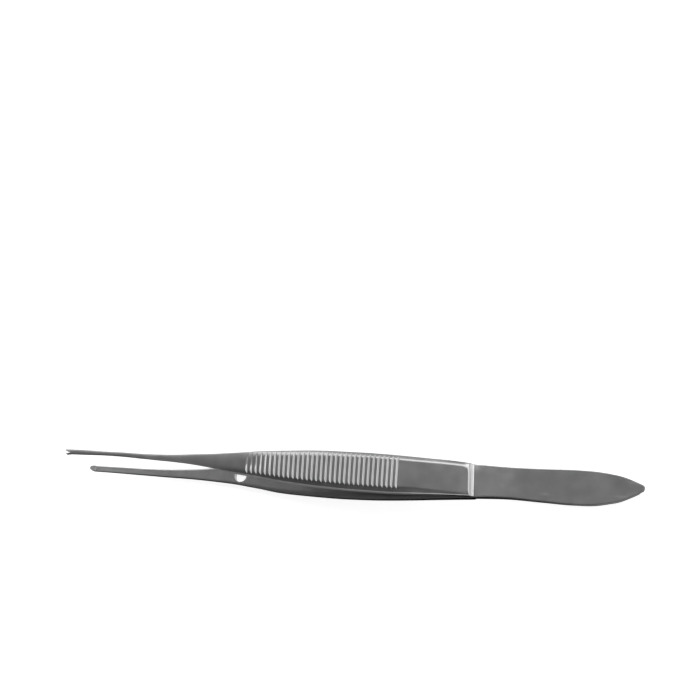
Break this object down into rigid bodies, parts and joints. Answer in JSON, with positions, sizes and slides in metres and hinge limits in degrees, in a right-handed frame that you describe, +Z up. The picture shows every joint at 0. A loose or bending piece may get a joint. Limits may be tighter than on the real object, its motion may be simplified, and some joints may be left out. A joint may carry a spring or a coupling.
{
  "type": "thumb forceps",
  "caption": "Slim sprung thumb forceps with a leaf-shaped heel, stepped and serrated grips, a guide pin and fine interlocking teeth at the tips, lying open.",
  "frame": {"origin": "middle of the forceps' box, on the floor the forceps lies on", "axes": "+X along the forceps towards its heel, +Y across the arms, +Z up, the way the upper arm stands away from the lower one"},
  "size_m": [0.1022, 0.0068, 0.0152],
  "materials": {
    "satin_steel": "stainless steel, finely ground and satin blasted, slightly blotchy",
    "pin_steel": "turned stainless steel, plain and a little brighter than the arms"
  },
  "bodies": {
    "root": {"upper_arm": "satin_steel", "lower_arm": "satin_steel", "guide_pin": "pin_steel"}
  },
  "joints": []
}
